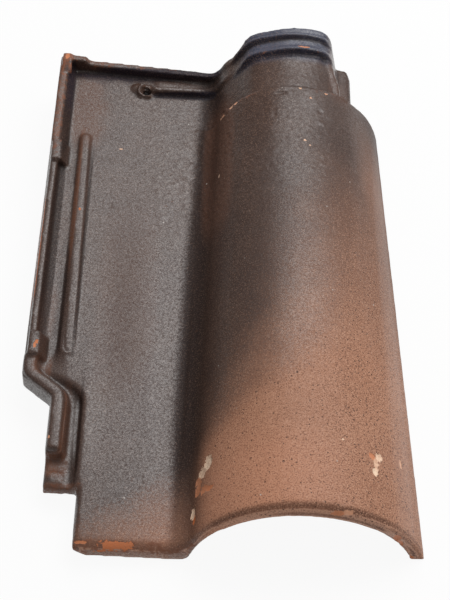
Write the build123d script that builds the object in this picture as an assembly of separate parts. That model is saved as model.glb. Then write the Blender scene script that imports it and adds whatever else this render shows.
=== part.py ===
# Interlocking clay roof tile: a flat pan, a tapered roll and a side lap pressed as one piece.
# Drawn with the pan level: X across the roof, Y up the roof from the foot, Z up from the pan's top face.
# At the end the tile is turned to lie as it does on a level floor.
from math import asin, atan2, cos, degrees, sin, sqrt
import os

from build123d import *

os.makedirs("parts", exist_ok=True)

# Pan, with its head edge a little askew
pan_thickness = 13.0
head_y = 431.0
head_skew = 5.0
side_bevel = 2.5
side_drop = 4.0

# Front edge
front_bevel = 4.8
front_drop = 3.5
lip_width = 8.0
lip_height = 6.5
lip_length = 10.0

# Side lap on the pan's left, full width above the corner cut and narrower below it
lap_width = 44.0
lap_low_width = 22.7
lap_end_y = 44.0
cut_low_y = 111.0
cut_high_y = 128.5

# Rim of the side lap, with its distance in from the lap's edge: wider below the lower lug, higher at the head
rim_inset = 4.8
rim_low_inset = 5.4
rim_rise = 2.0
rim_width = 12.0
rim_low_width = 15.5
rim_overlap = 6.0
rim_height = 6.0
rim_draft = 18.0
rim_end_y = 65.3
rim_corner = 10.0
high_rim_edge = 1.0
high_rim_top = 6.0
high_rim_base = 12.5
high_rim_height = 9.0

# Channel inside the rim, sloping down from the pan at the corner cut
channel_depth = 5.5
channel_draft = 35.0
channel_turn_y = 119.0
channel_slope_y = 141.0
channel_corner = 18.0
ramp_low_y = 106.0
lap_floor_y = 74.0

# Roll: crown, outer and hollow radii on the left, and free edges on the right, at the foot and at the head
roll_y = head_y - 64.0
foot_crown_x = 145.5
foot_crown_z = 59.4
foot_left_radius = 73.5
foot_edge_x = 224.5
foot_hollow_radius = 71.5
foot_hollow_edge_x = 219.2
head_crown_x = 141.0
head_crown_z = 55.0
head_left_radius = 59.0
head_edge_x = 209.5
head_hollow_radius = 59.0
head_hollow_edge_x = 203.0
wall = 11.4
roll_edge_z = 0.0
valley_radius = 18.0
arch_radius = 8.0
end_wall = 12.0

# Outlines of the neck and of the ribs over it, from the left foot over the crown to the right edge
neck_points = [(80, 0), (90, 18), (97.5, 27.5), (110.5, 45.5), (143, 54), (166.5, 48.5), (177, 0)]
rib_points = [(78, 0), (88.5, 19.5), (95.5, 25), (106, 47), (143, 58.5), (169, 52.5), (180.5, 0)]
outline_radii = [10, 10, 20, 58, 14]
foot_fillet = 10.0
neck_wall = 10.0
collar_share = 0.35

# Head ribs: the first at the head edge, the second below it
head_rib_width = 6.0
head_rib_height = 8.0
second_rib_y = head_y - 25.3
second_rib_width = 5.0
second_rib_height = 4.5

# Band down the neck's right side, flush with the ribs at the head and narrower at the roll
band_points = [(158, 0), (163.5, 50), (168, 48.5), (171.2, 43.5), (177.7, 14)]
band_low_points = [(158, 0), (169, 43.5), (170, 44), (171.2, 43.5), (177.7, 14)]

# Flange at the band's foot, with its corner cut
flange_points = [(181.5, 13.5), (186.5, 12.5), (188.5, 11.5), (189.5, 9.5), (189.5, 0)]
flange_corner = 8.0

# Nail hole in its raised boss
nail_x = 27.0
nail_y = head_y - 23.5
nail_radius = 3.0
boss_radius = 7.6
boss_height = 4.0
boss_draft = 25.0
nail_mouth_radius = 4.4

# Weather strip on the pan
strip_width = 9.0
strip_height = 2.5
strip_low = (-14.2, 148.0)
strip_high = (-17.3, head_y - 72.0)
strip_draft = 30.0

# Lugs on the rim, and the seat at the lap's lower end
lug_length = 20.0
lug_height = 9.0
lug_edge = 2.5
lug_top_width = 7.5
lug_base_width = 12.5
lug_low_y = 142.0
lug_high_y = head_y - 107.0
seat_x = -21.0
seat_width = 11.5
seat_length = 10.0
seat_height = 2.0
seat_y = lap_end_y + 2.5

# Ramped post and block at the head's left corner
post_edge = 2.0
post_width = 7.5
post_height = 13.5
post_length = 18.0
post_flat = 8.0
block_width = 14.5
block_slope = 4.0
block_height = 12.0

# Nib under the head that hooks on the batten
nib_x = 30.0
nib_y = head_y - 43.0
nib_width = 50.0
nib_base = 17.0
nib_tip = 9.0
nib_height = 12.0

# Distance that cutting and joining bodies reach past what they cut or join
reach = 20.0


def section_plane(y):
    """Upright plane across the tile, with local x along X and local y along Z."""
    return Plane(origin=(0, y, 0), x_dir=(1, 0, 0), z_dir=(0, -1, 0))


def arch(crown, left_radius, edge, base_z, base_radius):
    """Arch line: fillet off the base level, left arc up to the crown, right arc down to the free edge."""
    left = Vector(crown.X, crown.Y - left_radius)
    rise = base_z + base_radius - left.Y
    base = Vector(crown.X - sqrt((left_radius + base_radius) ** 2 - rise**2), base_z + base_radius)
    touch = degrees(atan2(rise, base.X - left.X))
    height = crown.Y - edge.Y
    right_radius = (height**2 + (edge.X - crown.X) ** 2) / (2 * height)
    right = Vector(crown.X, crown.Y - right_radius)
    start = degrees(asin((edge.Y - right.Y) / right_radius))
    right_angle = degrees(atan2(1, 0))
    with BuildLine() as line:
        CenterArc((base.X, base.Y), base_radius, -right_angle, touch - right_angle)
        CenterArc((left.X, left.Y), left_radius, right_angle, touch - right_angle)
        CenterArc((right.X, right.Y), right_radius, start, right_angle - start)
    return line.line, Vector(base.X, base_z)


def roll_section(y, crown_x, crown_z, left_radius, edge_x, drop=0.0):
    """Face under the roll's outer curve, down to the middle of the pan, lowered by the drop."""
    crown = Vector(crown_x, crown_z - drop)
    edge = Vector(edge_x, roll_edge_z)
    line, foot = arch(crown, left_radius - drop, edge, -drop, valley_radius + drop)
    with BuildSketch(section_plane(y)) as sketch:
        with BuildLine():
            add(line)
            Polyline(
                (edge.X, edge.Y),
                (crown_x, roll_edge_z),
                (crown_x, -pan_thickness / 2),
                (foot.X, -pan_thickness / 2),
                (foot.X, foot.Y),
            )
        make_face()
    return sketch.sketch


def hollow_section(y, crown_x, crown_z, radius, edge_x):
    """Face of the hollow under the roll, open below and rounded off at the pan's underside."""
    edge = Vector(edge_x, -pan_thickness)
    line, foot = arch(Vector(crown_x, crown_z - wall), radius, edge, -pan_thickness, arch_radius)
    with BuildSketch(section_plane(y)) as sketch:
        with BuildLine():
            add(line)
            Polyline(
                (edge.X, edge.Y),
                (edge.X, edge.Y - reach),
                (foot.X, foot.Y - reach),
                (foot.X, foot.Y),
            )
        make_face()
    return sketch.sketch


def neck_section(y, start_x, level, share):
    """Face from the pan's given level up over the neck, between the neck's outline and the ribs' outline."""
    outline = [Vector(*n) + (Vector(*r) - Vector(*n)) * share for n, r in zip(neck_points, rib_points)]
    flank = outline[1] - outline[0]
    foot = outline[0] + flank * (level / flank.Y)
    middle = outline[4]
    points = [Vector(start_x, level), foot] + outline[1:]
    closing = [
        Vector(middle.X, roll_edge_z),
        Vector(middle.X, -pan_thickness / 2),
        Vector(start_x, -pan_thickness / 2),
    ]
    with BuildSketch(section_plane(y)) as sketch:
        with BuildLine():
            FilletPolyline(*points, *closing, radius=[0, foot_fillet, *outline_radii, 0, 0, 0, 0], close=True)
        make_face()
    return sketch.sketch


def bore_section(y):
    """Face of the bore under the neck, one wall inside the neck's outline and open below."""
    floor = -pan_thickness - 2 * reach
    left, right = neck_points[0], neck_points[-1]
    points = [left, *neck_points[3:], (right[0], floor), (left[0], floor)]
    with BuildSketch(section_plane(y)) as sketch:
        with BuildLine():
            FilletPolyline(*points, radius=[0, *outline_radii[2:], 0, 0, 0], close=True)
        make_face()
        offset(amount=-neck_wall, mode=Mode.REPLACE)
    return sketch.sketch


def along(face, length):
    """Face carried up the roof."""
    return extrude(face, amount=length, dir=(0, 1, 0))


def section(y, points):
    """Face across the tile with the given corners."""
    with BuildSketch(section_plane(y)) as sketch:
        Polygon(*points, align=None)
    return sketch.sketch


def profile(y, length, points):
    """Straight bar up the roof with the given section."""
    return along(section(y, points), length)


def across(x, width, points):
    """Straight bar across the roof with the given section, whose points are along Y and Z."""
    with BuildSketch(Plane.YZ) as sketch:
        Polygon(*points, align=None)
    return Pos(x, 0, 0) * extrude(sketch.sketch, amount=width)


def block(x0, x1, y0, y1, z0, z1):
    """Upright block between the given faces."""
    return Pos(x0, y0, z0) * Box(x1 - x0, y1 - y0, z1 - z0, align=(Align.MIN, Align.MIN, Align.MIN))


# Plate: the pan and the side lap in one, with the front edge bevelled and the lip's corner cut back
with BuildSketch() as plan:
    Polygon(
        (0, front_bevel),
        (foot_crown_x, front_bevel),
        (foot_crown_x, head_y + reach),
        (-lap_width, head_y + reach),
        (-lap_width, cut_high_y),
        (-lap_low_width, cut_low_y),
        (-lap_low_width, lap_end_y),
        (0, lap_end_y),
        align=None,
    )
plate = extrude(plan.sketch, amount=-pan_thickness)
nose_points = [(0, -pan_thickness), (front_bevel, -pan_thickness), (front_bevel, 0), (0, -front_drop)]
plate += across(0, foot_crown_x, nose_points)
side_points = [(0, reach), (0, -side_drop), (side_bevel, 0), (side_bevel, reach)]
plate -= profile(-reach, lap_end_y + reach, side_points)
lip_z = lip_height - pan_thickness
lip_points = [
    (-reach, lip_z),
    (0, lip_z),
    (lip_width, -pan_thickness),
    (lip_width, -pan_thickness - reach),
    (-reach, -pan_thickness - reach),
]
plate -= profile(-reach, lip_length + reach, lip_points)

# Channel of the side lap, running down its ramp and out over the whole lap below the rim's end
rim_x = rim_inset - lap_width
rim_low_x = rim_low_inset - lap_low_width
with BuildSketch() as channel_plan:
    with BuildLine():
        FilletPolyline(
            (0, lap_end_y - reach),
            (0, channel_turn_y),
            (rim_x, channel_slope_y),
            (rim_x, cut_high_y + rim_rise),
            (rim_low_x, cut_low_y + rim_rise),
            (rim_low_x, lap_floor_y),
            (-lap_low_width - reach, lap_floor_y),
            (-lap_low_width - reach, lap_end_y - reach),
            radius=[0, channel_corner, 0, 0, 0, 0, 0, 0],
            close=True,
        )
    make_face()
channel = extrude(channel_plan.sketch, amount=-channel_depth, taper=channel_draft)
ramp_points = [
    (channel_slope_y, 0),
    (ramp_low_y, -channel_depth),
    (lap_end_y - reach, -channel_depth),
    (lap_end_y - reach, reach),
    (channel_slope_y, reach),
]
plate -= channel & across(-lap_width, lap_width, ramp_points)

# Rim along the lap's edge, following the corner cut, and its higher length at the head
with BuildSketch() as rim_plan:
    with BuildLine(mode=Mode.PRIVATE) as rim_line:
        Line((rim_x, head_y + reach), (rim_x, lug_low_y))
    trace(rim_line.wire(), rim_width)
with BuildSketch() as rim_low_plan:
    with BuildLine(mode=Mode.PRIVATE) as rim_low_line:
        FilletPolyline(
            (rim_x, lug_low_y + rim_overlap),
            (rim_x, cut_high_y + rim_rise),
            (rim_low_x, cut_low_y + rim_rise),
            (rim_low_x, rim_end_y),
            radius=rim_corner,
        )
    trace(rim_low_line.wire(), rim_low_width)
rim_base = Pos(0, 0, -channel_depth)
rim = extrude(rim_plan.sketch, amount=channel_depth + rim_height, taper=rim_draft)
rim += extrude(rim_low_plan.sketch, amount=channel_depth + rim_height, taper=rim_draft)
rim = rim_base * (rim & extrude(plan.sketch, amount=channel_depth + rim_height))
high_x = high_rim_edge - lap_width
high_y = lug_high_y + lug_length
high_points = [
    (high_x, -channel_depth),
    (high_x + high_rim_base, -channel_depth),
    (high_x + high_rim_base, 0),
    (high_x + high_rim_top, high_rim_height),
    (high_x, high_rim_height),
]
plate += rim
plate += profile(high_y, head_y + reach - high_y, high_points)

# Roll: the bevelled front and the long taper up to the neck
nose_foot = roll_section(0, foot_crown_x, foot_crown_z, foot_left_radius, foot_edge_x, front_drop)
roll_foot = roll_section(front_bevel, foot_crown_x, foot_crown_z, foot_left_radius, foot_edge_x)
roll_head = roll_section(roll_y, head_crown_x, head_crown_z, head_left_radius, head_edge_x)
tile = plate + loft([nose_foot, roll_foot], ruled=True) + loft([roll_foot, roll_head], ruled=True)

# Neck, the collar between the ribs, the two ribs, the band and the flange, run past the head line and trimmed
neck_y = roll_y - end_wall
far_y = head_y + reach
valley_x = neck_points[0][0] - reach
head_line = [
    (-lap_width, head_y + head_skew),
    (rib_points[0][0], head_y - head_skew),
    (rib_points[3][0], head_y),
    (flange_points[1][0], head_y),
    (flange_points[-1][0], head_y - flange_corner),
    (foot_edge_x, head_y - flange_corner),
]
rib_back = [(x, y - head_rib_width) for x, y in reversed(head_line)]
with BuildSketch() as rib_plan:
    Polygon(*head_line, *rib_back, align=None)
rib_room = Pos(0, 0, -pan_thickness) * extrude(rib_plan.sketch, amount=foot_edge_x)
first_rib_y = second_rib_y + second_rib_width
tile += along(neck_section(neck_y, valley_x, 0, 0), far_y - neck_y)
tile += along(neck_section(second_rib_y, valley_x, 0, collar_share), far_y - second_rib_y)
tile += along(neck_section(second_rib_y, nail_x, second_rib_height, 1), second_rib_width)
tile += along(neck_section(first_rib_y, rim_x, head_rib_height, 1), far_y - first_rib_y) & rib_room
band_foot = section(neck_y, [*band_low_points, *flange_points])
band_head = section(far_y, [*band_points, *flange_points])
tile += loft([band_foot, band_head], ruled=True)

# Ramped post and sloped block at the head's left corner
post_y = head_y + head_skew - post_length
post_points = [
    (post_y, -channel_depth),
    (post_y, high_rim_height),
    (head_y + head_skew - post_flat, post_height),
    (far_y, post_height),
    (far_y, -channel_depth),
]
post_x = high_x + post_edge
tile += across(post_x, post_width, post_points)
block_x = post_x + post_width
block_end = block_x + block_width
block_points = [
    (block_x, 0),
    (block_end, 0),
    (block_end, head_rib_height),
    (block_end - block_slope, block_height),
    (block_x, block_height),
]
tile += profile(first_rib_y, far_y - first_rib_y, block_points) & rib_room

# Head line
trim_points = [*head_line, (foot_edge_x, far_y + reach), (-lap_width, far_y + reach)]
with BuildSketch() as trim_plan:
    Polygon(*trim_points, align=None)
tile -= Pos(0, 0, -pan_thickness) * extrude(trim_plan.sketch, amount=foot_edge_x)

# Weather strip, lugs on the rim and seat
strip = Vector(*strip_high) - Vector(*strip_low)
strip_middle = (Vector(*strip_high) + Vector(*strip_low)) * 0.5
strip_angle = degrees(atan2(strip.Y, strip.X))
strip_face = Pos(strip_middle) * Rot(0, 0, strip_angle) * SlotOverall(strip.length, strip_width)
tile += extrude(strip_face, amount=strip_height, taper=strip_draft)
lug_x = lug_edge - lap_width
lug_points = [
    (lug_x, -channel_depth),
    (lug_x + lug_base_width, -channel_depth),
    (lug_x + lug_base_width, 0),
    (lug_x + lug_top_width, lug_height),
    (lug_x, lug_height),
]
tile += profile(lug_low_y, lug_length, lug_points)
tile += profile(lug_high_y, lug_length, lug_points)
seat_top = seat_height - channel_depth
tile += block(seat_x, seat_x + seat_width, seat_y, seat_y + seat_length, -pan_thickness / 2, seat_top)

# Nail boss, and the nib under the head with an upright face towards the batten
boss = Pos(nail_x, nail_y, 0) * Circle(boss_radius)
tile += extrude(boss, amount=boss_height, taper=boss_draft)
nib_z = -pan_thickness - nib_height
nib_points = [
    (nib_y, -pan_thickness),
    (nib_y, nib_z),
    (nib_y + nib_tip, nib_z),
    (nib_y + nib_base, -pan_thickness),
]
tile += across(nib_x - nib_width / 2, nib_width, nib_points)

# Hollow under the roll and the neck, and the nail hole
hollow_foot = hollow_section(0, foot_crown_x, foot_crown_z, foot_hollow_radius, foot_hollow_edge_x)
hollow_head = hollow_section(neck_y, head_crown_x, head_crown_z, head_hollow_radius, head_hollow_edge_x)
tile -= loft([hollow_foot, hollow_head], ruled=True)
tile -= along(bore_section(neck_y - reach), far_y - neck_y + 2 * reach)
tile -= Pos(nail_x, nail_y, 0) * Cylinder(nail_radius, 4 * pan_thickness)
tile -= Pos(nail_x, nail_y, boss_height) * Cone(
    nail_radius, nail_mouth_radius, boss_height, align=(Align.CENTER, Align.CENTER, Align.MAX)
)

# Turned to rest on the nib, the rounded foot of the arch and the roll's free edge
edge = Vector(foot_edge_x, 0, roll_edge_z)
arch_crown = Vector(foot_crown_x, foot_crown_z - wall)
arch_edge = Vector(foot_hollow_edge_x, -pan_thickness)
arch_foot = arch(arch_crown, foot_hollow_radius, arch_edge, -pan_thickness, arch_radius)[1]
centre = Vector(arch_foot.X, 0, arch_foot.Y + arch_radius)
lean = atan2(edge.Z - centre.Z, edge.X - centre.X) + asin(arch_radius / (edge - centre).length)
corner = centre + Vector(sin(lean), 0, -cos(lean)) * arch_radius
heel = Vector(nib_x + nib_width / 2, nib_y, nib_z)
floor_up = (edge - corner).cross(heel - corner).normalized()
floor = Plane(origin=corner, x_dir=edge - corner, z_dir=floor_up)
tile = floor.location.inverse() * tile
box = tile.bounding_box()
tile = Pos(-box.center().X, -box.center().Y, -box.min.Z) * tile

export_step(tile, "parts/roof_tile.step")
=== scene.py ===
# %% [markdown]
# # A clay roof tile
# This tile was pressed from wet clay in a mould, sprayed with a dark liquid clay called engobe and fired.
# The solid model already has its true shape, with every edge sharp.
# These cells give it the rest: edges softened by the mould, chips, the fired colours and a plain studio.
# Places and sizes on the tile are written in millimetres, and those of the studio in Blender's metres.

# %% Load the solid
import math

import bmesh
import bpy
import numpy as np
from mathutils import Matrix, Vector, kdtree, noise


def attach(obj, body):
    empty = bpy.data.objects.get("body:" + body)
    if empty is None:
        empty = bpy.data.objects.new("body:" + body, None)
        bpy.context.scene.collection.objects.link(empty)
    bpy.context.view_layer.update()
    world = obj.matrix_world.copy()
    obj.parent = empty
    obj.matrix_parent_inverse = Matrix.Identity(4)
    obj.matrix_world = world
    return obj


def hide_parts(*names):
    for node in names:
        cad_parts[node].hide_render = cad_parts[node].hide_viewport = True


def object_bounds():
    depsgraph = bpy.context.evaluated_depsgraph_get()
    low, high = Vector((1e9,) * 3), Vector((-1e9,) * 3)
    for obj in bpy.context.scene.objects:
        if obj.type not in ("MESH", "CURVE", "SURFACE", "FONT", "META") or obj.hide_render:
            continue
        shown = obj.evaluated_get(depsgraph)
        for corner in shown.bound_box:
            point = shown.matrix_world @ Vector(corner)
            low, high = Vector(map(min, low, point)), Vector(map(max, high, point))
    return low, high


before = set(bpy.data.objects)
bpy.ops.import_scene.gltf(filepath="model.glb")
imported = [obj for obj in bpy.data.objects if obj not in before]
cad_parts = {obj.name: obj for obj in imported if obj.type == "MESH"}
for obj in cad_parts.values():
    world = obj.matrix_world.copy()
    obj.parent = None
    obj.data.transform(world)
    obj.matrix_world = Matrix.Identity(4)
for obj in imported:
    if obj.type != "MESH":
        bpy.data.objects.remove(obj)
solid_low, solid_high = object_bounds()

mm = 0.001
print("solid box in metres:", tuple(solid_low), tuple(solid_high))

# %% [markdown]
# ## A skin of small faces
# A solid model is drawn with few, long faces, and its sharp edges share no corners.
# Clay needs many small faces of the same size, because softening and chipping both move points.
# The copy is first welded into one closed skin.
# A voxel remesh then rebuilds it on a fine grid, which is the quickest way to even faces on a closed shape.

# %% Copy, weld and remesh
grid = 1.0 * mm
weld_reach = grid / 1000
skin = bmesh.new()
skin.from_mesh(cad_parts["roof_tile"].data)
bmesh.ops.remove_doubles(skin, verts=skin.verts, dist=weld_reach)
clay_tile = bpy.data.objects.new("clay_tile", bpy.data.meshes.new("clay_tile"))
skin.to_mesh(clay_tile.data)
skin.free()
bpy.context.scene.collection.objects.link(clay_tile)


def apply_modifiers(piece):
    """Swaps the piece's mesh for the one that its modifiers make."""
    graph = bpy.context.evaluated_depsgraph_get()
    made = bpy.data.meshes.new_from_object(piece.evaluated_get(graph))
    piece.modifiers.clear()
    piece.data = made


remesh = clay_tile.modifiers.new("even faces", "REMESH")
remesh.mode = "VOXEL"
remesh.voxel_size = grid
apply_modifiers(clay_tile)
print("remeshed corners:", len(clay_tile.data.vertices))

# %% [markdown]
# ## Edges softened by the mould
# Pressed clay never keeps a sharp edge: it shrinks and slumps as it dries.
# A bevel on every edge would fail where so many small forms meet.
# Moving each corner towards the middle of its neighbours, again and again, rounds all edges alike.
# Blender's Smooth modifier does this too.
# Here the result is needed again, as a measure of the edges, so numpy works it out.

# %% Relaxing
def read_corners(mesh):
    """The mesh's corners, one row each."""
    flat = np.empty(len(mesh.vertices) * 3)
    mesh.vertices.foreach_get("co", flat)
    return flat.reshape(-1, 3)


pairs = np.empty(len(clay_tile.data.edges) * 2, int)
clay_tile.data.edges.foreach_get("vertices", pairs)
one, other = pairs.reshape(-1, 2).T


def relax(points, rounds):
    """Moves every corner halfway to the mean of its neighbours, the given number of times."""
    share = np.bincount(one, minlength=len(points)) + np.bincount(other, minlength=len(points))
    for _ in range(rounds):
        mean = np.empty_like(points)
        for axis in range(3):
            total = np.bincount(one, points[other, axis], len(points))
            mean[:, axis] = (total + np.bincount(other, points[one, axis], len(points))) / share
        points = (points + mean) / 2
    return points


print("pairs of neighbours:", len(one))

# %% [markdown]
# Few rounds keep the pan crisp.
# More rounds give the flowing head ribs, the soft step of the lap and the round front edge.
# The lowest corners stay where they are, because the tile rests on them.

# %% Soften the edges
crisp_rounds = 4
flowing_rounds = 10


def fade(value, start, end):
    """Smooth step from 0 at the start to 1 at the end."""
    t = np.clip((value - start) / (end - start), 0, 1)
    return t * t * (3 - 2 * t)


sharp = read_corners(clay_tile.data)
x, y, z = sharp.T / mm
crisp = relax(sharp, crisp_rounds)
flowing = relax(crisp, flowing_rounds)
head_ribs = fade(y, 160, 172) * fade(x, -30, -8)
lap_step = fade(x, -84, -90) * fade(y, -50, -70)
front_edge = fade(y, -205, -211)
soft = np.maximum(np.maximum(head_ribs, front_edge), lap_step)[:, None]
off_floor = fade(z, 1, 5)[:, None]
clay = sharp + (crisp + soft * (flowing - crisp) - sharp) * off_floor
print("largest softening in mm:", round(float(np.abs(clay - sharp).max()) / mm, 2))

# %% [markdown]
# ## Shallow shapes
# The trough, the nail boss and the head ribs have soft borders that differ from tile to tile.
# Sharp cuts in the solid would look too clean, so they are pressed into the skin by sums on its corners.
# The height above the pan tells the pan's top side from the rim, the strip and the underside.

# %% Measure the height above the pan
def read_normals(mesh):
    """The direction that the surface faces at each corner."""
    flat = np.empty(len(mesh.vertices) * 3)
    mesh.vertex_normals.foreach_get("vector", flat)
    return flat.reshape(-1, 3)


def settle(points):
    """Puts the corners in their places and reads which way the surface now faces."""
    clay_tile.data.vertices.foreach_set("co", points.ravel())
    clay_tile.data.update()
    return read_normals(clay_tile.data)


facing = settle(clay)
pan_up = np.array((0.083, -0.028, 0.996))
pan_spot = np.array((-78.2, 128.6, 27.4))
above_pan = (clay / mm - pan_spot) @ pan_up
top_side = fade(above_pan, -4, -2)
x, y, z = clay.T / mm
print("corners on the pan's level or higher:", int((top_side > 0.5).sum()))

# %% [markdown]
# Rain that gets past the rim runs down a shallow trough between the rim and the weather strip.
# The trough deepens towards the foot and spreads out where the strip ends.
# The pan's margins bend a little: down beside the valley and up beside the lap.

# %% Press the trough and the margins
trough_depth_at_head = 0.8
trough_deeper_at_foot = 1.8
valley_margin_drop = 0.8
lap_margin_rise = 1.0
trough_depth = trough_depth_at_head + trough_deeper_at_foot * fade(y, 50, -60)
trough_depth = trough_depth * fade(y, -104, -72) * fade(y, 150, 128)
past_strip = fade(y, -62, -80)
slope_top = -109.2 + 9 * past_strip
slope_foot = -111.8 - 6 * past_strip
trough = fade(x, -125.5, -117.5) * fade(x, slope_top, slope_foot) * fade(above_pan, 2.2, 0.4) * top_side
low_pan = fade(y, 20, -80) * fade(y, -180, -140) * fade(above_pan, 2, 0.8) * fade(above_pan, -3, -1)
margins = low_pan * (valley_margin_drop * fade(x, -48, -32) - lap_margin_rise * fade(x, -74, -91))
sink = trough * trough_depth + margins
print("deepest trough in mm:", round(float(sink.max()), 2))

# %% [markdown]
# The nail boss was pushed up by hand on the wet tile, so it is a lumpy crater with a bulge on its left.
# Blender's noise gives the lumps, and it is the same at every run.
# A low shelf joins the boss to the foot of the roll.

# %% Shape the nail boss
hole_x, hole_y = -63.0, 190.2
bulge_x, bulge_y = -69.5, 194
bulge_height = 2.0
shelf_height = 0.9
lump_height = 2.4
lump_size = 5.5


def lumps(points, size):
    """Smooth random heights from -1 to 1, with lumps of about the given size in millimetres."""
    return np.array([noise.noise(p) for p in (points / (size * mm)).tolist()])


from_hole = np.hypot(x - hole_x, y - hole_y)
lumpy_ring = lump_height * fade(from_hole, 15, 7) * lumps(clay, lump_size)
crater = fade(above_pan, 0.3, 1.5) * (fade(from_hole, 7, 4) - lumpy_ring)
bulge = bulge_height * fade(np.hypot(x - bulge_x, y - bulge_y), 6.5, 2) * top_side
shelf = shelf_height * fade(y, 186.5, 188.5) * fade(y, 206, 202)
shelf = shelf * fade(x, -58, -52) * fade(x, 2, -8) * top_side
sink = sink + crater - bulge - shelf
print("boss rises in mm:", round(float(-sink.min()), 2))

# %% [markdown]
# The second head rib has a round shoulder, and the neck flares out on its right where it meets the roll.
# The shoulder moves along the surface's own direction, and only on the outside of the arch.
# The flare moves to the right.

# %% Shape the rib and the neck
shoulder_height = 2.6
flare_reach = 5.0
arch_x, arch_z = 54, 20
outside = fade(facing[:, 0] * (x - arch_x) + facing[:, 2] * (z - arch_z), 0, 10)
shoulder = shoulder_height * fade(y, 201, 203.4) * fade(y, 207, 205.6)
shoulder = shoulder * fade(x, 0, 12) * fade(x, 84, 78) * outside
flare = flare_reach * fade(y, 192, 154) * fade(y, 146, 151)
flare = flare * fade(x, 74, 83) * fade(x, 98, 93) * fade(z, 26, 36)
clay = clay - (pan_up * sink[:, None] - facing * shoulder[:, None]) * mm
clay[:, 0] += flare * mm
print("rib shoulder in mm:", round(float(shoulder.max()), 2), "flare:", round(float(flare.max()), 2))

# %% [markdown]
# ## Where edges and corners are
# Wear shows on edges that stand out, and painted shade darkens the hollows.
# Relaxing the surface a lot and looking how far each corner sinks tells the two apart.
# A corner that sinks was an edge, and one that rises was in a hollow.

# %% Measure edges
measuring_rounds = 40
facing = settle(clay)
edge = ((clay - relax(clay, measuring_rounds)) * facing).sum(axis=1) / mm
print("edges sink up to", round(float(edge.max()), 2), "mm, hollows rise up to", round(float(-edge.min()), 2))

# %% [markdown]
# ## Chips, bare patches and dents
# Knocks broke the coat off in flakes, mostly where the roll turns and along the front edge.
# The same list presses the surface in and later colours it, so shape and colour stay together.
# Each flake has a place, a size along each axis, a depth, a paleness from 0 for orange clay to 1 for cream,
# and a power, which makes its outline squarer the higher it is.

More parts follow.
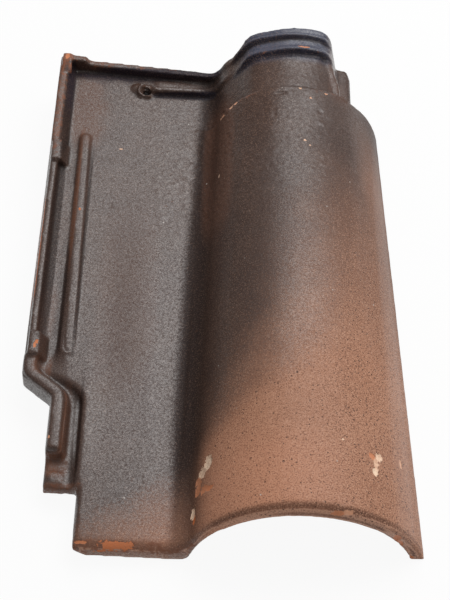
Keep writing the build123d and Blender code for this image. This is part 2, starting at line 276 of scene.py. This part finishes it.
# %% List the chips
chips = [
    # flake on the roll's left flank, pale above and orange below
    ((-3.0, -168.4, 38.6), (3.6, 5.4, 6.0), 0.7, 0.9, 2),
    ((-6.8, -172.6, 33.0), (3.6, 4.0, 5.4), 0.7, 0.8, 2),
    ((-9.4, -178.2, 28.8), (2.8, 5.2, 4.0), 0.5, 0.2, 3),
    ((-9.6, -182.8, 28.4), (3.0, 4.0, 4.0), 0.5, 0.15, 3),
    ((-5.0, -186.0, 35.4), (4.0, 2.9, 5.4), 0.5, 0.15, 2),
    ((-1.2, -187.8, 40.6), (3.4, 2.2, 4.2), 0.4, 0.1, 2),
    # drop near the foot of the same flank
    ((-12.4, -197.0, 22.8), (2.2, 4.4, 3.4), 0.6, 0.9, 2),
    ((-11.7, -202.2, 24.6), (1.5, 3.6, 2.6), 0.4, 0.0, 2),
    # flake on the roll's right side
    ((101.6, -171.6, 50.8), (2.8, 2.4, 3.0), 0.6, 0.15, 2),
    ((105.6, -170.2, 47.4), (2.8, 3.0, 3.0), 0.6, 0.8, 2),
    ((103.9, -176.2, 49.0), (2.1, 4.8, 2.8), 0.7, 0.65, 2),
    ((102.8, -182.4, 49.8), (2.2, 3.4, 2.6), 0.6, 0.9, 2),
    ((120.5, -164.5, 30.6), (1.3, 3.6, 1.7), 0.3, 0.5, 2),
    # knocks on the front edge of the roll
    ((78.6, -217.8, 58.4), (4.8, 1.8, 2.2), 0.6, 0.15, 2),
    ((84.0, -216.6, 57.4), (4.0, 1.8, 2.2), 0.5, 0.35, 2),
    ((115.4, -217.6, 28.2), (2.6, 2.2, 3.8), 0.9, 0.1, 2),
    ((117.8, -217.5, 21.8), (2.4, 2.2, 4.2), 0.9, 0.1, 2),
    ((124.5, -217.0, 3.0), (3.5, 2.2, 3.0), 0.6, 0.1, 2),
    ((-3.6, -217.6, 23.0), (3.4, 1.8, 2.6), 0.6, 0.2, 2),
    # bare stretch of the pan's front bevel
    ((-61.2, -214.6, 14.8), (10.0, 2.6, 2.4), 0.12, 0.05, 8),
    ((-64.0, -217.8, 12.0), (12.0, 0.9, 1.0), 0.2, 0.0, 4),
    ((-63.5, -218.4, 9.8), (1.6, 1.2, 2.2), 0.2, 0.0, 2),
    ((-84.0, -213.7, 17.4), (4.4, 1.0, 1.3), 0.2, 0.1, 4),
    # first head rib, lug and post
    ((63.2, 190.8, 73.9), (4.6, 1.6, 1.8), 0.4, 0.2, 2),
    ((-123.9, -65.4, 34.9), (1.2, 2.4, 2.0), 0.4, 0.05, 2),
    ((-125.2, -69.2, 34.7), (1.2, 2.6, 2.0), 0.4, 0.1, 2),
    ((-125.4, 213.0, 47.0), (1.8, 3.2, 2.2), 0.3, 0.1, 2),
    # small marks on the pan, the strip and the rim's end
    ((-78.9, 127.5, 27.4), (1.9, 0.9, 1.0), 0.1, 0.6, 2),
    ((-105.1, 62.1, 30.3), (0.9, 1.6, 1.0), 0.1, 0.0, 2),
    ((-109.6, -140.2, 28.0), (0.9, 1.4, 1.4), 0.1, 0.3, 2),
    # splashes on the roll, the valley and the neck
    ((62.4, 91.7, 70.3), (1.1, 1.1, 1.2), 0.1, 0.7, 2),
    ((66.0, 87.2, 69.5), (0.9, 0.9, 1.2), 0.1, 0.7, 2),
    ((-1.6, 84.5, 40.8), (0.8, 1.6, 1.4), 0.1, 0.8, 2),
    ((82.8, -165.4, 61.2), (0.9, 1.2, 1.2), 0.1, 0.8, 2),
    ((-24.0, -144.7, 16.8), (1.1, 1.2, 1.4), 0.1, 1.0, 2),
    ((67.5, 136.7, 69.8), (0.9, 0.9, 1.0), 0.1, 0.5, 2),
    # knocks along the head edge of the roll
    ((59.4, 146.0, 71.5), (1.4, 0.8, 1.4), 0.4, 0.7, 2),
    ((79.0, 145.2, 65.8), (2.2, 0.8, 1.8), 0.4, 0.4, 2),
    ((-1.2, 145.6, 41.0), (1.6, 1.3, 3.0), 0.4, 0.5, 2),
    ((0.8, 145.5, 44.0), (1.5, 1.3, 2.4), 0.4, 0.4, 2),
    ((6.8, 146.0, 52.4), (2.2, 1.3, 2.4), 0.4, 0.5, 2),
    ((10.4, 146.6, 56.2), (2.4, 1.3, 1.8), 0.4, 0.4, 2),
]
print("chips:", len(chips))

# %% [markdown]
# Dents that the wet coat covered have no bare clay.
# They have a list of their own, each with a place, a size and a depth.
# A chip has a steep border and a flat floor, and a dent is a soft bowl.
# The deepest press at a corner wins, so that flakes which overlap make one hollow.

# %% Press the chips and dents
chip_border = 0.35
dent_floor = 0.4
dents = [
    # knocks under the coat beside the head edge of the roll
    ((45.0, 141.0, 71.8), (6.5, 2.2, 3.0), 0.7),
    ((52.0, 143.6, 72.0), (4.0, 1.3, 3.0), 0.5),
    ((74.0, 124.0, 67.0), (3.0, 2.4, 3.0), 0.5),
    ((40.0, 118.0, 71.0), (2.2, 2.6, 3.0), 0.4),
    # broken side of the nail boss, and the hollow foot of the step beside the lower channel
    ((-59.0, 186.6, 30.0), (4.0, 3.4, 4.0), 1.3),
    ((-92.9, -126.0, 17.8), (2.3, 50.0, 2.8), 1.2),
]
chip = np.full(len(clay), -1.0)
pale = np.zeros(len(clay))
press = np.zeros(len(clay))
for spot, size, depth, paleness, power in chips:
    off = np.abs((clay / mm - spot) / size)
    inside = 1 - (off**power).sum(axis=1) ** (1 / power)
    pale = np.where(inside > chip, paleness, pale)
    chip = np.maximum(chip, inside)
    press = np.maximum(press, depth * fade(inside, 0, chip_border))
for spot, size, depth in dents:
    away = np.linalg.norm((clay / mm - spot) / size, axis=1)
    press = np.maximum(press, depth * fade(away, 1, dent_floor))
print("chipped corners:", int((chip > 0).sum()), "dents:", len(dents))

# %% [markdown]
# ## An uneven skin
# Drying bent the tile in long low waves, and its edges broke off raggedly, most at the end of the lap.
# On the upper roll and beside it the spray dried in blisters, like orange peel.
# All three move the corners along the direction that the surface faces.
# The skin is then kept inside the solid's box by a hair.

# %% Add waves, ragged edges and blisters
wave_height, wave_size = 0.16, 38
ragged_depth, lap_end_depth, ragged_size = 0.2, 0.5, 4
blister_height, blister_size, blister_gap = 0.6, 3.6, 0.08
peel_patch = 30
box_inset = 0.01 * mm
wavy = wave_height * lumps(clay, wave_size)
lap_end = fade(y, -160, -168) * fade(x, -84, -90)
ragged = fade(edge, 0.35, 0.9) * np.maximum(0, lumps(clay, ragged_size))
ragged = ragged * (ragged_depth + lap_end_depth * lap_end)
peeled = fade(y, 20, 110) * fade(x, -72, -40) * fade(x, 108, 80) * fade(lumps(clay, peel_patch), -0.3, 0.3)
blisters = blister_height * peeled * np.maximum(0, lumps(clay, blister_size) - blister_gap)
inward = (press + ragged - wavy - blisters) * off_floor[:, 0]
clay = clay - facing * inward[:, None] * mm
low, high = np.array(solid_low), np.array(solid_high)
clay = np.clip(clay, low + box_inset, high - box_inset)
settle(clay)
print("deepest press in mm:", round(float(inward.max()), 2))
print("highest blister in mm:", round(float(blisters.max()), 2))

# %% [markdown]
# ## Worn, brown and dark stretches
# Some stretches of edge rubbed down to orange clay, such as the rim's outer line and the roll's head edge.
# Elsewhere the spray hardly reached, so brown clay shows. The dark stretches are mostly painted shade on near
# faces, foot lines and inner slopes, and partly a darker dull coat.
# Three short lists of soft zones say where, each with a place, a size and a strength.

# %% List the zones
worn_zones = [
    # outer line of the rim, post at the corner, top of the high rim and the lap's end
    ((-133.0, 25.0, 29.0), (3.4, 62.0, 8.0), 1.2),
    ((-125.0, 207.0, 46.0), (6.0, 15.0, 8.0), 0.6),
    ((-129.0, 165.0, 42.0), (7.0, 60.0, 7.0), 0.4),
    ((-100.0, -174.0, 14.0), (16.0, 5.0, 7.0), 0.45),
    # head edge of the roll, on its left and its right
    ((8.0, 145.0, 54.0), (22.0, 5.0, 22.0), 0.4),
    ((84.0, 145.0, 62.0), (20.0, 4.0, 14.0), 0.46),
    # front edge of the pan
    ((-50.0, -216.0, 13.0), (60.0, 5.0, 8.0), 0.5),
    # head ribs and the head rim
    ((60.0, 190.0, 68.0), (60.0, 5.0, 20.0), 0.2),
    ((-60.0, 214.0, 38.0), (70.0, 6.0, 10.0), 0.35),
]
brown_zones = [
    # crust along the left foot of the weather strip, thin coat at the pan's head corner
    ((-109.4, 80.0, 28.0), (2.0, 74.0, 5.0), 1.25),
    ((-107.0, 165.0, 29.0), (13.0, 40.0, 6.0), 0.5),
    # trough's slope, lower channel, its hollow under the lug, the floor below the rim and the lap's end
    ((-121.0, -48.0, 27.0), (5.0, 40.0, 7.0), 0.5),
    ((-101.2, -130.0, 18.0), (3.4, 38.0, 9.0), 0.9),
    ((-120.5, -80.0, 24.0), (7.0, 11.0, 9.0), 0.8),
    ((-106.0, -154.0, 17.0), (9.0, 11.0, 7.0), 1.0),
    ((-102.0, -174.0, 14.0), (15.0, 5.0, 8.0), 0.8),
    # top of the high rim, the head rim and the right side of the neck
    ((-130.0, 170.0, 40.0), (4.5, 52.0, 8.0), 0.6),
    ((-60.0, 216.0, 38.0), (75.0, 4.5, 12.0), 0.7),
    ((90.0, 170.0, 50.0), (9.0, 30.0, 26.0), 0.3),
    # thin coat high on the roll's left flank and along the middle of the pan
    ((-3.0, 98.0, 40.0), (13.0, 70.0, 26.0), 0.55),
    ((-66.0, -15.0, 22.0), (22.0, 90.0, 12.0), 0.16),
    # front bevel beside the bare stretch
    ((-77.0, -214.6, 15.5), (6.0, 3.0, 3.0), 0.5),
]
# dark zones: mostly painted shade on near faces, foot lines and the channel beside the step; the inner slopes
# are partly darker dull coat and partly painted shade
dark_zones = [
    # inner slope of the rim, of the high rim and of the lug
    ((-122.6, 30.0, 29.0), (3.8, 98.0, 8.0), 0.9),
    ((-121.8, 164.0, 36.0), (2.8, 58.0, 9.0), 0.9),
    ((-119.5, -66.0, 30.0), (3.0, 13.0, 7.0), 0.6),
    # both foot lines of the weather strip, the line beside the lower channel and the channel itself
    ((-110.6, -22.0, 26.5), (1.5, 54.0, 5.0), 0.8),
    ((-99.9, 27.0, 26.5), (1.3, 104.0, 5.0), 0.8),
    ((-91.0, -124.0, 18.5), (1.4, 46.0, 6.0), 0.7),
    ((-101.2, -130.0, 17.0), (3.4, 38.0, 7.0), 0.3),
    # near face of the head rim, the step beside the nail boss and the near faces of the ribs
    ((-60.0, 206.0, 33.0), (75.0, 4.0, 6.0), 0.9),
    ((-30.0, 187.0, 25.0), (34.0, 2.6, 5.0), 1.0),
    ((40.0, 185.6, 66.0), (52.0, 3.4, 22.0), 1.0),
    ((40.0, 201.6, 68.0), (50.0, 2.2, 22.0), 0.9),
]
print("zones:", len(worn_zones), "worn,", len(brown_zones), "brown,", len(dark_zones), "dark")

# %% [markdown]
# Each zone is a box with round corners whose strength fades out near its border.
# Where zones overlap, the strongest one counts.
# Wear is then kept to the measured edges, because flat clay doesn't rub down.

# %% Find the worn, brown and dark places
def zone_map(zones, squareness=4):
    """Strength of the strongest zone at each corner, soft at the border."""
    found = np.zeros(len(clay))
    for spot, size, strength in zones:
        away = ((np.abs(clay / mm - spot) / size) ** squareness).sum(axis=1) ** (1 / squareness)
        found = np.maximum(found, strength * fade(away, 1.15, 0.75))
    return found


worn = zone_map(worn_zones) * fade(edge, 0.1, 0.4)
brown = zone_map(brown_zones)
dark = zone_map(dark_zones)
for name, found in {"worn": worn, "brown": brown, "dark": dark}.items():
    print(name, "corners:", int((found > 0.2).sum()))

# %% [markdown]
# ## Fewer faces
# Flat clay doesn't need a face every millimetre.
# The Decimate modifier keeps small faces where the surface bends and joins them where it is flat.
# What was measured on the fine skin is then read off at the nearest old corner and kept on the mesh by name.
# The finish below reads those values by name.

# %% Thin out the skin and keep the measured values
most_triangles = 188000


def count_triangles(mesh):
    """How many triangles the mesh has once its faces are split."""
    return sum(len(face.vertices) - 2 for face in mesh.polygons)


fine_corners = kdtree.KDTree(len(clay))
for number, corner in enumerate(clay.tolist()):
    fine_corners.insert(corner, number)
fine_corners.balance()
thin = clay_tile.modifiers.new("fewer faces", "DECIMATE")
thin.ratio = most_triangles / count_triangles(clay_tile.data)
apply_modifiers(clay_tile)
nearest = np.array([fine_corners.find(corner)[1] for corner in read_corners(clay_tile.data).tolist()])
measured = {"edge": edge, "chip": chip, "pale": pale, "worn": worn, "brown": brown, "dark": dark}
for name, values in measured.items():
    kept = clay_tile.data.attributes.new(name, "FLOAT", "POINT")
    kept.data.foreach_set("value", values[nearest].astype(np.float32))
clay_tile.data.shade_smooth()
print("triangles:", count_triangles(clay_tile.data))

# %% [markdown]
# ## Writing a finish as sums
# A material is a net of nodes, and a net of many sums is hard to read.
# This small class wraps one socket, so that sums on sockets read like sums on numbers.
# Every other node is made by one function, which sets the node's own options first and then its sockets.

# %% Sockets that can be added and multiplied
class Field:
    """A value that changes over the surface: one output socket, with arithmetic."""

    def __init__(self, socket):
        self.socket = socket

    def node(self, kind, settings, sockets, output=0):
        """A new node in the same net, with its settings and its sockets' values or links."""
        return make_node(self.socket.id_data, kind, settings, sockets, output)

    def work_out(self, operation, first, second):
        """One Math node on two values."""
        return self.node("ShaderNodeMath", {"operation": operation}, {0: first, 1: second})

    def __add__(self, more):
        return self.work_out("ADD", self, more)

    def __radd__(self, more):
        return self.work_out("ADD", more, self)

    def __sub__(self, less):
        return self.work_out("SUBTRACT", self, less)

    def __rsub__(self, start):
        return self.work_out("SUBTRACT", start, self)

    def __mul__(self, times):
        return self.work_out("MULTIPLY", self, times)

    def __rmul__(self, times):
        return self.work_out("MULTIPLY", times, self)

    def ramp(self, start, end, shape="SMOOTHSTEP"):
        """Step from 0 at the start to 1 at the end, smooth unless its shape is LINEAR."""
        settings = {"interpolation_type": shape}
        return self.node("ShaderNodeMapRange", settings, {"Value": self, "From Min": start, "From Max": end})

    def most(self, rival):
        """The larger of two values."""
        return self.work_out("MAXIMUM", self, rival)


def make_node(tree, kind, settings, sockets, output=0):
    """A node in the net: settings first, then each socket gets a value or a link."""
    made = tree.nodes.new(kind)
    for name, setting in settings.items():
        setattr(made, name, setting)
    for name, given in sockets.items():
        if isinstance(given, Field):
            tree.links.new(given.socket, made.inputs[name])
        else:
            made.inputs[name].default_value = given
    return Field(made.outputs[output])


print("ready to write finishes")

# %% [markdown]
# ## Fired clay under dark engobe
# The coat was sprayed thick at the head and on the roll's left flank, and fired almost black there.
# Towards the lower right the flame flashed it to red brown, and the border is a cloud of fine dark grains.
# All patterns are placed by the tile's own millimetres, so they stay where they are from every side.
# Noise of five sizes, from dust to a drift across the whole tile, breaks up every border.

# %% Places and grains
mm_in_metre = 1000
fired_clay = bpy.data.materials.new("fired_clay")
fired_clay.use_nodes = True
net = fired_clay.node_tree
place = make_node(net, "ShaderNodeTexCoord", {}, {}, "Object")


def measure(axis):
    """The distance from the tile's origin along one axis, in millimetres."""
    return place.node("ShaderNodeSeparateXYZ", {}, {0: place}, axis) * mm_in_metre


def grain(size, detail):
    """Random grain from about 0 to 1, with lumps of about the given size in millimetres."""
    sockets = {"Vector": place, "Scale": mm_in_metre / size, "Detail": detail, "Roughness": 0.5}
    return place.node("ShaderNodeTexNoise", {}, sockets)


across = measure("X")
along = measure("Y")
height = measure("Z")
dust = grain(size=0.8, detail=2)
sand = grain(size=1.7, detail=3)
pebble = grain(size=5, detail=3)
cloud = grain(size=34, detail=3)
drift = grain(size=120, detail=1)
print("nodes for places and grains:", len(net.nodes))

# %% [markdown]
# The valley between pan and roll runs slightly slantwise and swings to the right at both ends of the tile.
# The flame missed it, and its colour is darkened all the way down, partly as darker coat and partly as
# painted shade of the crease between pan and roll.
# The distance from it says how far round the roll a point is, and most of the finish below is placed by it.

# %% Where the valley lies
valley_slant = 0.021
head_swing, foot_swing = 3.5, 3
valley_shift = 4.5


def jitter(field, width):
    """Grain as a shift to and fro, about as wide as given."""
    return (field - 0.5) * width


from_valley = across - along * valley_slant - along.ramp(0, 140) * head_swing
from_valley = from_valley - along.ramp(-120, -190) * foot_swing - valley_shift
valley = (from_valley + jitter(sand, 5)).ramp(-35, -27) * (from_valley + jitter(sand, 6)).ramp(-8, -18)
valley = valley * (1 - along.ramp(-140, -205) * 0.5)
on_roll = from_valley.ramp(-26, -1)
print("nodes with the valley:", len(net.nodes))

# %% [markdown]
# The border of the flash runs slantwise down the roll, from high on its right edge to low on its left flank.
# A straight line with a little of the third power bends it at both ends.
# Adding clouds to it makes it wander, and adding fine sand makes it break up into grains.
# The roll's right edge and the pan's foot were flashed too.

# %% Where the flame flashed the coat
border_middle = 70
border_slant = 0.12
border_bend = 0.000018
wander = jitter(cloud, 20) + jitter(sand, 34)
border = border_middle + along * border_slant + along * along * along * border_bend
tight = 1 + along.ramp(-105, -158)
flash_strength = (along + jitter(drift, 20)).ramp(98, -100, "LINEAR")
roll_flash = ((across - border) * tight + wander).ramp(-49, 45) * flash_strength
right_edge = (across + jitter(sand, 6)).ramp(94, 114) * along.ramp(150, 70) * 0.42
foot_flash = (across * 0.65 - along + wander).ramp(139, 232, "LINEAR") * (1 - on_roll)
flash = (roll_flash.most(right_edge) * on_roll).most(foot_flash) * (1 - valley * 0.8)
print("nodes with the flash:", len(net.nodes))

# %% [markdown]
# The coat is a dark brown, and what looks grey on the pan is only its sheen.
# On the head ribs it is blue black, lifted to blue grey as a painted cool reflection, and it is brown where
# it is thin. Painted shade, on a partly darker coat, makes it almost black in the valley, on near faces and
# along foot lines.
# Colours are mixed layer by layer, as a glazer would lay them on, each with a mask that says where.

# %% Colours of the coat
def srgb(red, green, blue):
    """A colour as screens write it, from 0 to 255, as the light it stands for."""
    parts = [channel / 255 for channel in (red, green, blue)]
    return [p / 12.92 if p <= 0.04045 else ((p + 0.055) / 1.055) ** 2.4 for p in parts] + [1.0]


# a Mix node has sockets for numbers, vectors and colours, and these are the places of the colour ones
mix_under, mix_over, mix_result = 6, 7, 2


def blend(share, under, over):
    """The under colour with a share of the over colour on it."""
    sockets = {"Factor": share, mix_under: under, mix_over: over}
    return share.node("ShaderNodeMix", {"data_type": "RGBA"}, sockets, mix_result)


def kept_value(name):
    """A value that was kept on the mesh by name."""
    return make_node(net, "ShaderNodeAttribute", {"attribute_name": name}, {}, "Fac")


engobe_deep, engobe_light = srgb(63, 45, 38), srgb(72, 52, 43)
# blue black coat of the head ribs, lightened and blued as a painted reflection of cool light
head_blue_and_reflection = srgb(70, 75, 92)
# valley colour: darker coat together with painted shade of the crease
valley_coat_and_shade = srgb(33, 22, 20)
thin_brown = srgb(124, 82, 62)
# colours of the painted shade in the dark zones: brown below the head, navy at the head
shade_brown, shade_blue = srgb(34, 24, 22), srgb(22, 22, 38)
head_blue_share = (along + jitter(cloud, 10)).ramp(176, 188) * across.ramp(4, 26) * across.ramp(88, 78)
head_blue_share = head_blue_share * height.ramp(48, 60) * along.ramp(217.6, 215)
brown_zone = kept_value("brown") * (dust + sand * 0.5).ramp(0.4, 0.95)
dark_zone = kept_value("dark")
coat = blend(cloud.ramp(0.3, 0.7), engobe_deep, engobe_light)
# the head ribs get the blue black coat with its painted cool reflection
coat = blend(head_blue_share, coat, head_blue_and_reflection)
# the valley is darkened: partly darker coat, partly painted shade of the crease
coat = blend(valley * 0.85, coat, valley_coat_and_shade)
coat = blend(brown_zone * 0.8, coat, thin_brown)
shade_colour = blend(along.ramp(150, 180), shade_brown, shade_blue)
# the dark zones get their painted shade, almost black
coat = blend(dark_zone * 0.9, coat, shade_colour)
print("nodes with the coat:", len(net.nodes))

# %% [markdown]
# Flashed clay is red brown and a little lighter at the roll's foot.
# The front bevel is darkened as painted shade, because it faces down and away from the light, and the ridge
# below it gets a painted highlight.
# The measured edges find that ridge.

# %% Colours of the flash and the front edge
flashed_deep, flashed_light = srgb(166, 117, 91), srgb(172, 123, 97)
flashed_foot = srgb(188, 132, 103)
# painted shade of the front bevel, which faces away from the light
bevel_shade_on_pan, bevel_shade_on_roll = srgb(116, 78, 62), srgb(80, 50, 39)
# painted highlight on the rounded ridge below the bevel
ridge_highlight = srgb(212, 162, 136)
red_brown = blend(cloud.ramp(0.35, 0.65), flashed_deep, flashed_light)
red_brown = blend(along.ramp(-140, -190) * across.ramp(105, 40), red_brown, flashed_foot)
colour = blend(flash, coat, red_brown)
edges = kept_value("edge")
front = (along + jitter(sand, 1.5)).ramp(-212.4, -215) * (1 - edges.ramp(0.25, 0.7))
bevel = blend(on_roll, bevel_shade_on_pan, bevel_shade_on_roll)
pan_face = along.ramp(-215.8, -216.8) * (1 - on_roll)
# the bevel gets its painted shade
colour = blend(front * (0.5 + on_roll * 0.35 - pan_face * 0.4), colour, bevel)
ridge = along.ramp(-215.6, -216.6) * edges.ramp(0.46, 0.55) * edges.ramp(0.74, 0.64)
# the ridge gets its painted highlight
colour = blend(ridge * 0.7, colour, ridge_highlight)
print("nodes with the flash's colours:", len(net.nodes))

# %% [markdown]
# Fine dark specks sit in the flashed clay, where iron in it melted, most of them on the roll's right side.
# Dark and light dust grains lie all over, with a few white ones.
# A Voronoi texture gives each speck its own cell, so the specks stay separate and round.

# %% Specks and dust
def specks(spacing, size, share):
    """Round specks, one in each cell of the given spacing in millimetres, in a share of the cells."""
    cells = {"Vector": place, "Scale": mm_in_metre / spacing, "Randomness": 1.0}
    middle = place.node("ShaderNodeTexVoronoi", {}, cells, "Distance")
    chance = place.node("ShaderNodeTexVoronoi", {}, cells, "Color")
    picked = chance.node("ShaderNodeSeparateColor", {}, {0: chance}, "Red").ramp(share + 0.01, share)
    return middle.ramp(size, size * 0.5) * picked


iron_brown = srgb(52, 32, 26)
dust_dark, dust_light, dust_white = srgb(84, 54, 42), srgb(204, 158, 130), srgb(196, 188, 180)
flank = from_valley.ramp(-20, -12) * (from_valley - along.ramp(60, 140) * 14).ramp(30, 8)
side = from_valley.ramp(62, 92) * along.ramp(90, 20)
side_specks = specks(spacing=2.3, size=0.3, share=0.45) * side
small_specks = specks(spacing=2.8, size=0.24, share=0.3)
large_specks = specks(spacing=9, size=0.12, share=0.35)
white_specks = specks(spacing=15, size=0.05, share=0.3)
dark_specks = small_specks.most(large_specks).most(side_specks)
colour = blend(dark_specks * (flash * 0.5 + side_specks * 0.2 + 0.3), colour, iron_brown)
colour = blend(dust.ramp(0.5, 0.7) * (flash * 0.45 + side * 0.2 + 0.2), colour, dust_dark)
light_share = flash * 0.4 + flank * 0.12 + side * 0.2 + 0.13
colour = blend(dust.ramp(0.48, 0.3) * light_share, colour, dust_light)
colour = blend(white_specks * 0.8, colour, dust_white)
print("nodes with the specks:", len(net.nodes))

# %% [markdown]
# Bare clay shows in the chips and along the worn edges, and painted shade darkens the hollows.
# Sand and pebbles in the border of a chip give it the ragged outline of a flake.

# %% Bare clay
bare_orange, bare_cream, bare_brown = srgb(200, 112, 64), srgb(252, 226, 198), srgb(186, 122, 88)
rubbed_brown, rubbed_orange = srgb(126, 82, 62), srgb(180, 106, 68)
# hollow_shade is the colour of the painted shade in the hollows
hollow_shade = srgb(30, 21, 18)
chipped = (kept_value("chip") + jitter(sand, 1.5) + jitter(pebble, 0.8)).ramp(0.0, 0.1)
bare = blend(kept_value("pale"), bare_orange, bare_cream)
bare = blend(sand.ramp(0.4, 0.6) * 0.3, bare, bare_brown)
wear = kept_value("worn")
rubbed = (wear + jitter(sand, 0.8) + jitter(pebble, 1.3)).ramp(0.3, 0.65)
rubbed_clay = blend(wear.ramp(0.45, 0.9), rubbed_brown, rubbed_orange)
# painted shade in the hollows, found by the measured edges
colour = blend(edges.ramp(-0.12, -0.8) * 0.5, colour, hollow_shade)
colour = blend(rubbed * 0.85, colour, rubbed_clay)
colour = blend(chipped, colour, bare)
print("nodes with the bare clay:", len(net.nodes))

# %% [markdown]
# The engobe has a soft shine, and flashed, bare or thinly coated clay is matt.
# Spray, flame and handling left the shine uneven, so each stretch has its own share of dullness.
# Where stretches overlap, the dullest one counts.

# %% Where the coat is dull
wiped = across.ramp(-100, -68) * across.ramp(-40, -66) * along.ramp(120, -10) * along.ramp(-125, -60)
right_side = from_valley.ramp(82, 108)
neck = along.ramp(146, 156) * along.ramp(176, 160) * across.ramp(0, 20)
crown = from_valley.ramp(25, 45)
crown_flash = crown * along.ramp(90, 30)
crown_top = from_valley.ramp(45, 60) * along.ramp(95, 130)
foot = along.ramp(-190, -212) * (1 - on_roll)
flank_share = 0.5 + along.ramp(90, 130) * 0.25
dull = (flash * 0.88).most(chipped).most(rubbed * 0.8).most(valley * 0.9).most(dark_zone * 0.94)
dull = dull.most(flank * flank_share).most(brown_zone * 0.7).most(wiped * 0.4).most(right_side * 0.9)
dull = dull.most(neck * 0.42).most(crown * 0.26 * (1 - crown_top)).most(crown_flash * 0.42).most(foot * 0.45)
print("nodes with the dull places:", len(net.nodes))

# %% [markdown]
# The coat's skin is pitted like orange peel, most on the upper roll and beside it, and flashed clay is sandy.
# Relief finer than the blisters would need millions of faces, so a bump makes it.
# The shine is missing in the pits, and it is stronger along the roll's free edge and on the crown's top.
# Only the colour, the roughness, the coat and the normal change over the surface.

# %% Shine and fine relief
clay_ior = 1.33
coat_roughness = 0.36
bump_strength, bump_height = 0.6, 0.6 * mm
pits = dust.ramp(0.6, 0.4) * 0.6 + sand.ramp(0.62, 0.38) * 0.4
roughness = 0.42 + dull * 0.22 - jitter(pits, 0.2)
peel = along.ramp(-60, 110) * across.ramp(-75, -35) * across.ramp(110, 70) * cloud.ramp(0.3, 0.6)
blister = grain(size=3.4, detail=1)
free_edge = from_valley.ramp(101, 108) * height.ramp(41, 34) * height.ramp(14, 24)
pit_shine = 0.25 + pits * 1.05
peel_shine = 1 + peel * (blister - 0.5) * 2.0
shine = (1 - dull) * pit_shine * peel_shine + free_edge * 0.32 + crown_top * from_valley.ramp(82, 68) * 0.16
relief = pebble * (peel * 2 + 0.2) + blister * peel * 2 + sand * 0.5 + dust * 0.3
relief = relief - dark_specks * 0.4 - chipped * 0.6
bump_sockets = {"Strength": bump_strength, "Distance": bump_height, "Height": relief}
bump = relief.node("ShaderNodeBump", {}, bump_sockets, "Normal")
surface = net.nodes["Principled BSDF"]
surface.inputs["IOR"].default_value = clay_ior
surface.inputs["Coat Roughness"].default_value = coat_roughness
finish = {"Base Color": colour, "Roughness": roughness, "Coat Weight": shine, "Normal": bump}
for name, field in finish.items():
    net.links.new(field.socket, surface.inputs[name])
clay_tile.data.materials.clear()
clay_tile.data.materials.append(fired_clay)
print("nodes in the whole finish:", len(net.nodes))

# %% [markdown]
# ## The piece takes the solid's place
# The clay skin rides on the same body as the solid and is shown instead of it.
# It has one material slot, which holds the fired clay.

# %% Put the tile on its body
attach(clay_tile, "root")
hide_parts("roof_tile")

# %% [markdown]
# ## A plain studio
# The floor is pale and keeps the tile's shadow.
# For the camera and for reflections it also glows, which turns it white without any more light on the clay.
# A Mix Shader does that, with the Light Path node as its factor.

# %% Floor
floor_size = 16
floor_grey = 0.82
floor_roughness = 0.9
white_share = 0.93
bpy.ops.mesh.primitive_plane_add(size=floor_size, location=(0, 0, 0))
floor = bpy.context.object
floor.name = "studio_floor"
paper = bpy.data.materials.new("pale_floor")
paper.use_nodes = True
paper_net = paper.node_tree
matt_paper = paper_net.nodes["Principled BSDF"]
matt_paper.inputs["Base Color"].default_value = (floor_grey, floor_grey, floor_grey, 1)
matt_paper.inputs["Roughness"].default_value = floor_roughness
seen = make_node(paper_net, "ShaderNodeLightPath", {}, {}, "Is Camera Ray")
for kind_of_ray in ("Is Glossy Ray", "Is Transmission Ray"):
    seen = seen.most(make_node(paper_net, "ShaderNodeLightPath", {}, {}, kind_of_ray))
glow = make_node(paper_net, "ShaderNodeEmission", {}, {"Color": (1, 1, 1, 1), "Strength": 1.0})
paper_look = Field(matt_paper.outputs["BSDF"])
white_floor = make_node(paper_net, "ShaderNodeMixShader", {}, {0: seen * white_share, 1: paper_look, 2: glow})
paper_net.links.new(white_floor.socket, paper_net.nodes["Material Output"].inputs["Surface"])
floor.data.materials.append(paper)
print("floor laid:", floor_size, "m wide")

# %% [markdown]
# The photograph's light is broad and soft and comes from behind the head.
# It makes the pan and the crown shine grey.
# One large lamp does that, and the white world fills the shadows.

# %% Lights
world_strength = 0.3
lamp_place = (0.63, 0.74, 1.52)
lamp_aim = (0.02, 0, 0.03)
lamp_width, lamp_depth = 2.2, 1.15
lamp_watts = 32
world = bpy.data.worlds.new("studio")
bpy.context.scene.world = world
world.use_nodes = True
room = world.node_tree.nodes["Background"]
room.inputs["Color"].default_value = (1, 1, 1, 1)
room.inputs["Strength"].default_value = world_strength
light = bpy.data.lights.new("head_lamp", "AREA")
light.shape = "RECTANGLE"
light.size = lamp_width
light.size_y = lamp_depth
light.energy = lamp_watts
head_lamp = bpy.data.objects.new("head_lamp", light)
head_lamp.location = lamp_place
head_lamp.rotation_euler = (Vector(lamp_aim) - Vector(lamp_place)).to_track_quat("-Z", "Y").to_euler()
bpy.context.scene.collection.objects.link(head_lamp)
print("lamp at", lamp_place, "with", lamp_watts, "W")

# %% [markdown]
# ## The photograph's camera
# The camera's place was solved from the tile's own edges in the photograph.
# Its turn is in degrees, and its lens and sensor are in millimetres.

# %% Camera
camera_place = (0.0474, -0.69732, 0.84809)
camera_turn = (39.3733, 2.029, 1.1649)
camera_lens = 90.193
camera_sensor = 36
camera = bpy.data.objects.new("camera", bpy.data.cameras.new("camera"))
camera.location = camera_place
camera.rotation_euler = [math.radians(turn) for turn in camera_turn]
camera.data.lens = camera_lens
camera.data.sensor_width = camera_sensor
bpy.context.scene.collection.objects.link(camera)
bpy.context.scene.camera = camera
bpy.context.scene.view_settings.view_transform = "Standard"
print("camera at", camera_place)
